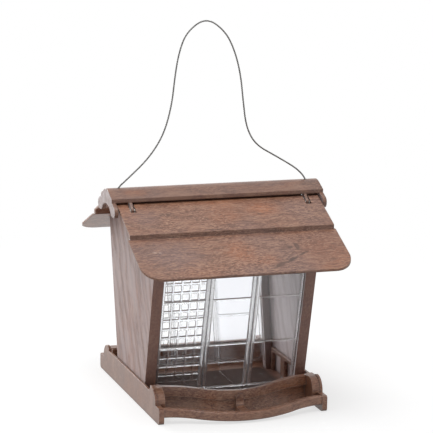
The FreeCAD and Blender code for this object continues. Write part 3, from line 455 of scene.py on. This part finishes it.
def wood_look(name, squeeze, seed, areas=(), marks=(), painted_glint=None, painted_sheen=0.0, darker=0.0, edges=None,
              coat=0.25, contrast=1.0, patches=0.0, grime_and_shade=None, lean=0.0, dust_and_sheen=False,
              flame=FINE_FLAME, rough=SATIN, edge_wear_and_highlight=PALE_WEAR_AND_HIGHLIGHT, sides=None, corner_shade=0.6):
    """Brown moulded plastic with a wood grain, with wear and a painted highlight on its edges and painted
    shade in its corners.

    squeeze, seed, contrast, flame and lean, in degrees, shape the grain. areas lie under it, marks over it.
    painted_glint is the place and reach of a painted highlight on the hinge arms, on all four corners of the
    feeder alike.
    painted_sheen is how far the faces that look along the ridge are paled by a painted sheen, and darker
    tints the whole piece.
    edges is a colour and its share for the faces that look front or back, sides for those along the ridge.
    coat is the share of a glossy skin, patches that of pale smudges, and grime_and_shade the reach of the
    floor's grime and painted shade.
    dust_and_sheen pales the faces that look into the house with dust and a painted sheen, and rough is the
    least and greatest roughness.
    edge_wear_and_highlight is the reach, colour and share of the worn edges with their painted highlight, and
    corner_shade how dark the painted shade in the corners is.
    """
    material, n = new_material(name)
    place = n.place()
    grain = wood_grain(n, place, squeeze, seed, areas, contrast, lean, flame)
    tone = grain.tone
    face = n.add("ShaderNodeNewGeometry").outputs["Normal"]
    own_face = n.add("ShaderNodeVectorTransform", {"Vector": face}, vector_type="NORMAL",
                     convert_from="WORLD", convert_to="OBJECT").outputs["Vector"]
    either_way = n.vector("ABSOLUTE", own_face)
    dull = n.spread(grain.mottle, *rough)
    skin = coat

    hatch = n.least_and_more(HATCH, n.step(grain.speckle, *HATCH_RISE))
    for mark, colour, strength, soft in marks:
        mask = n.math("MULTIPLY", oval(n, grain.mark_place, mark, grain.mottle, soft), hatch)
        tone = n.mix(n.share(mask, strength), tone, colour)
    if patches:
        smudge = n.noise(n.stretched(grain.moved, ALL_WAYS, SMUDGE_START), *SMUDGE_NOISE)
        tone = n.mix(n.share(n.step(smudge, *SMUDGE_RISE), patches), tone, PALE)
    # The tray's floor darkens towards a dark grey: grime, and painted shade under the roof.
    if grime_and_shade:
        near_floor = n.vector("MULTIPLY", n.vector("ABSOLUTE", place), tuple(1 / reach for reach in grime_and_shade))
        ways = n.add("ShaderNodeSeparateXYZ", {"Vector": near_floor}).outputs
        furthest = n.math("MAXIMUM", n.math("MAXIMUM", ways["X"], ways["Y"]), ways["Z"])
        upward = n.step(n.dot(own_face, UP_WAY), *UPWARD_RISE)
        soiled_and_shaded = n.math("MULTIPLY", n.step(furthest, *GRIME_AND_SHADE_RISE), upward)
        tone = n.mix(n.share(soiled_and_shaded, GRIME_AND_SHADE_SHARE), tone, GRIME_AND_SHADE)
        dull = n.mix_number(soiled_and_shaded, dull, DRY_DIRT)
        skin = n.mix_number(soiled_and_shaded, coat, 0.0)
    # Pale spots on the hinge arms: a painted highlight.
    if painted_glint:
        spot, reach = painted_glint
        away = n.vector("DISTANCE", n.vector("ABSOLUTE", place), spot, "Value")
        tone = n.mix(n.share(n.step(away, reach, reach * GLINT_CORE), GLINT_SHARE), tone, FLECK)
    if darker:
        tone = n.mix(darker, tone, DARK)
    # Faces that look along the ridge pale to grey: a painted sheen.
    if painted_sheen:
        endways = n.step(n.dot(either_way, RIDGE_WAY), *ENDWAYS_RISE)
        thin = n.least_and_more(THIN, n.step(grain.streaks, *THIN_RISE))
        tone = n.mix(n.share(n.math("MULTIPLY", endways, thin), painted_sheen), tone, SHEEN_GREY)
    # Faces that look into the house pale: dust, and a painted sheen.
    if dust_and_sheen:
        to_middle = n.vector("NORMALIZE", n.vector("MULTIPLY", place, (-1.0, -1.0, 0.0)))
        inward = n.step(n.dot(own_face, to_middle), *INWARD_RISE)
        drift = n.least_and_more(DRIFT, n.step(grain.streaks, *DRIFT_RISE))
        tone = n.mix(n.math("MULTIPLY", inward, drift), tone, DUST_AND_SHEEN)
    # The dark tints on the roof boards' front and back faces and on the tray's faces along the ridge are
    # painted shade.
    for tint, way in ((sides, RIDGE_WAY), (edges, DEPTH_WAY)):
        if tint:
            colour, strength = tint
            tone = n.mix(n.share(n.step(n.dot(either_way, way), *SQUARE_RISE), strength), tone, colour)

    # Edges pale: wear, and a painted highlight where the rounded edges catch light.
    edge_reach, edge_colour, edge_share = edge_wear_and_highlight
    round_edge = n.rounded(edge_reach)
    turned = n.math("SUBTRACT", 1.0, n.dot(face, round_edge))
    worn = n.math("MULTIPLY", n.step(turned, *TURNED_RISE), n.step(grain.mottle, *WORN_AND_LIT_RISE))
    tone = n.mix(n.share(worn, edge_share), tone, edge_colour)
    # Corners and creases darken: painted shade.
    corners = n.step(n.open_to_light(CORNER_REACH, CORNER_SAMPLES), *CORNER_RISE)
    tone = n.mix(n.share(corners, corner_shade), tone, SOOT_AND_SHADE)

    fine_relief = n.math("ADD", n.share(grain.mottle, MOTTLE_HEIGHT), n.share(grain.speckle, SPECKLE_HEIGHT))
    relief = n.math("ADD", n.share(grain.pores, PORE_DEPTH), fine_relief)
    n.show(n.add("ShaderNodeBsdfPrincipled", {
        "Base Color": tone, "Roughness": dull, "IOR": WOOD_IOR, "Coat Weight": skin,
        "Coat Roughness": COAT_ROUGH, "Normal": n.bump(relief, WOOD_BUMP, round_edge)}))
    return material


def clear_plastic(name, flat_way, beads):
    """Clear polished plastic, a little milky on its cut edges and beads, which lets the lamps through.

    flat_way is the axis that the sheet's broad faces look along.
    """
    material, n = new_material(name)
    place = n.place()
    normal = n.vector("ABSOLUTE", n.add("ShaderNodeNewGeometry").outputs["True Normal"])
    cut_edge = n.step(n.dot(normal, flat_way), *CUT_RISE)
    milky = n.share(cut_edge, CUT_MILK)
    clear = n.share(cut_edge, CUT_CLEAR)
    bead = 0.0
    if beads:
        lean_out, lean_up = PANE_LEAN
        deep = n.dot(n.vector("ABSOLUTE", place), (0.0, lean_out, -lean_up))
        bead = n.step(n.math("SUBTRACT", deep, PANE_FOOT * lean_out), *BEAD_RISE)
        milky = n.math("MAXIMUM", milky, n.share(bead, BEAD_MILK))
        clear = n.mix_number(bead, clear, BEAD_CLEAR)
    milky = n.math("MULTIPLY", milky, n.spread(n.noise(place, *CLOUD_NOISE), *CLOUD_SPREAD))
    scuffs = n.spread(n.noise(n.bent(place, *SCUFF_BEND), *SCUFF_NOISE), *SCUFF_ROUGH)
    rough = n.math("ADD", scuffs, n.share(milky, MILK_ROUGH))
    glass = n.add("ShaderNodeBsdfPrincipled", {
        "Base Color": CLEAR_TINT, "IOR": PANE_IOR, "Transmission Weight": n.math("SUBTRACT", 1.0, milky),
        "Roughness": rough, "Normal": n.bump(n.noise(place, *WAVE_NOISE), PANE_BUMP, n.rounded(PANE_ROUND)),
        "Coat Weight": bead, "Coat IOR": BEAD_COAT_IOR, "Coat Roughness": BEAD_COAT_ROUGH,
        "Alpha": n.math("SUBTRACT", 1.0, clear)})
    open_air = n.add("ShaderNodeBsdfTransparent", {"Color": CLEAR_SHADE})
    lamp_ray = n.add("ShaderNodeLightPath").outputs["Is Shadow Ray"]
    n.show(n.add("ShaderNodeMixShader", {0: lamp_ray, 1: glass.outputs[0], 2: open_air.outputs[0]}))
    return material


def metal(name, colour, rough, grooves=0.0):
    """Zinc-plated steel with a little tarnish, and painted shade in its grooves up to a reach."""
    material, n = new_material(name)
    tarnish = n.noise(n.place(), *TARNISH_NOISE)
    shaded = tuple(TARNISH_SHADE * channel for channel in colour[:3]) + (1.0,)
    tone = n.mix(n.step(tarnish, *TARNISH_RISE), colour, shaded)
    # Grooves darken: painted shade.
    if grooves:
        hidden = n.step(n.open_to_light(grooves, GROOVE_SAMPLES), *GROOVE_RISE)
        tone = n.mix(n.share(hidden, GROOVE_SHARE), tone, ROPE_GROOVE_SHADE)
    worn = n.spread(tarnish, *(rough * factor for factor in TARNISH_ROUGH))
    n.show(n.add("ShaderNodeBsdfPrincipled", {"Base Color": tone, "Metallic": 1.0, "Roughness": worn}))
    return material


# The cable

def cable_line():
    """Points along the cable's smooth line, read from a spline whose control points are the route."""
    curve = bpy.data.curves.new("cable_route", "CURVE")
    curve.dimensions = "3D"
    curve.resolution_u = ROUTE_FINENESS
    spline = curve.splines.new("NURBS")
    spline.points.add(len(CABLE_ROUTE) - 1)
    for point, (x, z) in zip(spline.points, CABLE_ROUTE):
        point.co = (x * MM, 0.0, z * MM, 1.0)
    spline.order_u = ROUTE_ORDER
    spline.use_endpoint_u = True
    route = bpy.data.objects.new("cable_route", curve)
    line = bpy.data.meshes.new_from_object(route)
    points = [vertex.co.copy() for vertex in line.vertices]
    bpy.data.objects.remove(route)
    bpy.data.curves.remove(curve)
    bpy.data.meshes.remove(line)
    return points


def even_steps(points, step):
    """Points a steady distance apart along a line, each with the line's direction and the way gone so far."""
    reach = [0.0]
    for before, after in zip(points, points[1:]):
        reach.append(reach[-1] + (after - before).length)
    count = max(2, round(reach[-1] / step))
    steps = []
    index = 0
    for number in range(count + 1):
        at = reach[-1] * number / count
        while index < len(points) - 2 and reach[index + 1] < at:
            index += 1
        run = points[index + 1] - points[index]
        steps.append((points[index] + run * ((at - reach[index]) / run.length), run.normalized(), at))
    return steps


def tube(bm, centres, radius, sides, material):
    """A closed tube along points, each with two directions across it."""
    rings = []
    for centre, first, second in centres:
        ring = []
        for side in range(sides):
            angle = 2 * math.pi * side / sides
            ring.append(bm.verts.new(centre + (first * math.cos(angle) + second * math.sin(angle)) * radius))
        rings.append(ring)
    faces = [bm.faces.new(rings[0][::-1]), bm.faces.new(rings[-1])]
    for before, after in zip(rings, rings[1:]):
        for side in range(sides):
            other = (side + 1) % sides
            faces.append(bm.faces.new((before[side], before[other], after[other], after[side])))
    for face in faces:
        face.material_index = material


def hanging_cable(wire, core):
    """Three strands laid round a dark core, whose colour also paints shade between them, along the cable's
    smooth line.
    """
    points = cable_line()
    steps = even_steps(points, STRAND_LAY / POINTS_PER_LAY)
    across = Vector(DEPTH_WAY)
    bm = bmesh.new()
    core_centres = [(place, across, along.cross(across)) for place, along, at in steps]
    tube(bm, core_centres, CORE_RADIUS, CORE_SIDES, CORE_SLOT)
    for strand in range(STRANDS):
        centres = []
        for place, along, at in steps:
            angle = 2 * math.pi * (strand / STRANDS + at / STRAND_LAY)
            out = across * math.cos(angle) + along.cross(across) * math.sin(angle)
            centres.append((place + out * (CABLE_RADIUS - STRAND_RADIUS), out, along.cross(out)))
        tube(bm, centres, STRAND_RADIUS, STRAND_SIDES, STRAND_SLOT)
    bmesh.ops.recalc_face_normals(bm, faces=bm.faces)
    mesh = bpy.data.meshes.new("hanging_wire_rope")
    bm.to_mesh(mesh)
    bm.free()
    mesh.shade_smooth()
    piece = bpy.data.objects.new("hanging_wire_rope", mesh)
    scene.collection.objects.link(piece)
    mesh.materials.append(wire)
    mesh.materials.append(core)
    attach(piece, "house")
    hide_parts("hanging_cable")


# Stage, light and camera

def seen_plainly(n):
    """1 for what the camera sees, directly, in gloss or through glass, and 0 for light on the object."""
    rays = n.add("ShaderNodeLightPath").outputs
    mirrored = n.math("MAXIMUM", rays["Is Camera Ray"], rays["Is Glossy Ray"])
    seen = n.math("MAXIMUM", mirrored, rays["Is Transmission Ray"])
    scattered = n.math("MINIMUM", rays["Diffuse Depth"], 1.0)
    return n.math("MULTIPLY", seen, n.math("SUBTRACT", 1.0, scattered))


def white_backdrop():
    """A world that is white behind the object and in its reflections, and lights it more softly."""
    world = bpy.data.worlds.new("studio")
    world.use_nodes = True
    n = Nodes(world.node_tree)
    lit = n.add("ShaderNodeBackground", {"Color": grey(1.0), "Strength": BACKDROP_LIGHT})
    white = n.add("ShaderNodeBackground", {"Color": grey(1.0), "Strength": 1.0})
    both = n.add("ShaderNodeMixShader", {0: seen_plainly(n), 1: lit.outputs[0], 2: white.outputs[0]})
    n.show(both, "ShaderNodeOutputWorld")
    scene.world = world


def floor():
    """A wide pale floor that keeps a soft shadow by the object and shows white further off."""
    material, n = new_material("floor_white")
    far = n.step(n.vector("LENGTH", n.place(), output="Value"), *FLOOR_WHITE)
    matt = n.add("ShaderNodeBsdfDiffuse", {"Color": grey(FLOOR_MATT)})
    glow = n.add("ShaderNodeEmission", {"Color": grey(1.0), "Strength": FLOOR_GLOW})
    near = n.add("ShaderNodeAddShader", {0: matt.outputs[0], 1: glow.outputs[0]})
    white = n.add("ShaderNodeEmission", {"Color": grey(1.0), "Strength": 1.0})
    shown = n.add("ShaderNodeMixShader", {0: far, 1: near.outputs[0], 2: white.outputs[0]})
    plain = n.add("ShaderNodeBsdfDiffuse", {"Color": grey(FLOOR_PLAIN)})
    n.show(n.add("ShaderNodeMixShader", {0: seen_plainly(n), 1: plain.outputs[0], 2: shown.outputs[0]}))
    corners = [(x * FLOOR_HALF, y * FLOOR_HALF, 0.0) for x, y in ((-1, -1), (1, -1), (1, 1), (-1, 1))]
    mesh = bpy.data.meshes.new("floor")
    mesh.from_pydata(corners, [], [(0, 1, 2, 3)])
    mesh.materials.append(material)
    piece = bpy.data.objects.new("floor", mesh)
    scene.collection.objects.link(piece)


def lamp(name, place, size, power):
    """A soft square lamp aimed at the middle of the feeder."""
    data = bpy.data.lights.new(name, "AREA")
    data.shape = "SQUARE"
    data.size = size
    data.energy = power
    item = bpy.data.objects.new(name, data)
    scene.collection.objects.link(item)
    item.location = place
    item.visible_camera = False
    item.rotation_euler = (TARGET - Vector(place)).to_track_quat("-Z", "Y").to_euler()


def camera():
    """The photograph's view."""
    azimuth, elevation, roll = (math.radians(value) for value in (AZIMUTH, ELEVATION, ROLL))
    back = Vector((math.sin(azimuth) * math.cos(elevation), -math.cos(azimuth) * math.cos(elevation),
                   math.sin(elevation)))
    right = Vector(UP_WAY).cross(back).normalized()
    up = back.cross(right)
    turned_right = right * math.cos(roll) + up * math.sin(roll)
    turned_up = up * math.cos(roll) - right * math.sin(roll)
    data = bpy.data.cameras.new("photo_view")
    data.sensor_width = SENSOR
    data.lens = FOCAL_PIXELS * SENSOR / IMAGE_PIXELS
    data.clip_end = FAR_CLIP
    item = bpy.data.objects.new("photo_view", data)
    scene.collection.objects.link(item)
    turn = Matrix((turned_right, turned_up, back)).transposed().to_4x4()
    item.matrix_world = Matrix.Translation(TARGET + back * DISTANCE) @ turn
    scene.camera = item


# Dress the nodes
steel = metal("zinc_steel", ZINC, rough=0.32)
wire = metal("rope_wire", ROPE_WIRE, rough=0.34, grooves=GROOVE_REACH)
# The core's dark colour also paints shade between the strands.
core = metal("rope_core", ROPE_CORE_AND_SHADE, rough=0.5)
pane = clear_plastic("window_plastic", DEPTH_WAY, beads=True)
partition = clear_plastic("divider_plastic", RIDGE_WAY, beads=False)
# On the walls, faces along the ridge get a painted sheen, inner faces dust and a painted sheen.
wall_finish = {"painted_sheen": 0.64, "contrast": 1.7, "lean": 25.0, "dust_and_sheen": True, "flame": BROAD_FLAME,
               "coat": 0.1, "rough": MATT, "edges": (MAUVE, 0.65)}
# On the roof, the boards' front and back faces darken with painted shade, and their corners with strong
# painted shade.
roof_finish = {"edges": (SOOT_AND_SHADE, 0.25), "coat": 0.1, "contrast": 1.3, "edge_wear_and_highlight": ROUNDED_EDGE_HIGHLIGHT, "corner_shade": 0.85}
finishes = {
    # The tray's floor darkens with grime and painted shade, its faces along the ridge with painted shade, and
    # its edges pale with wear and a painted highlight.
    "base_tray": wood_look("tray_wood_look", ALONG_RIDGE, 1, patches=0.5, grime_and_shade=FLOOR_REACH,
                           edge_wear_and_highlight=BARE_WEAR_AND_HIGHLIGHT, sides=(DARK, 0.4)),
    "left_end_wall": wood_look("left_wall_wood_look", UPRIGHT, 2, **wall_finish),
    "right_end_wall": wood_look("right_wall_wood_look", UPRIGHT, 3, **wall_finish),
    # The cap's hinge arms get a painted highlight, its end faces a painted sheen, and its corners a light
    # painted shade.
    "ridge_cap": wood_look("cap_wood_look", ALONG_RIDGE, 4, CAP_AREAS, painted_glint=ARM_GLINT, painted_sheen=0.7,
                           darker=0.45, coat=0.25, contrast=2.0, patches=0.4, edge_wear_and_highlight=ROUNDED_EDGE_HIGHLIGHT, corner_shade=0.25),
    "front_roof_flap": wood_look("front_roof_wood_look", ALONG_RIDGE, 5, ROOF_AREAS, ROOF_MARKS,
                                 **roof_finish),
    "back_roof_flap": wood_look("back_roof_wood_look", ALONG_RIDGE, 6, **roof_finish),
    "front_window": pane,
    "back_window": pane,
    "left_divider": partition,
    "right_divider": partition,
}
for node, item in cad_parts.items():
    item.data.materials.clear()
    item.data.materials.append(finishes.get(node, steel))

camera()
hanging_cable(wire, core)
white_backdrop()
floor()
for name, place, size, power in LAMPS:
    lamp(name, place, size, power)
scene.view_settings.view_transform = "Standard"
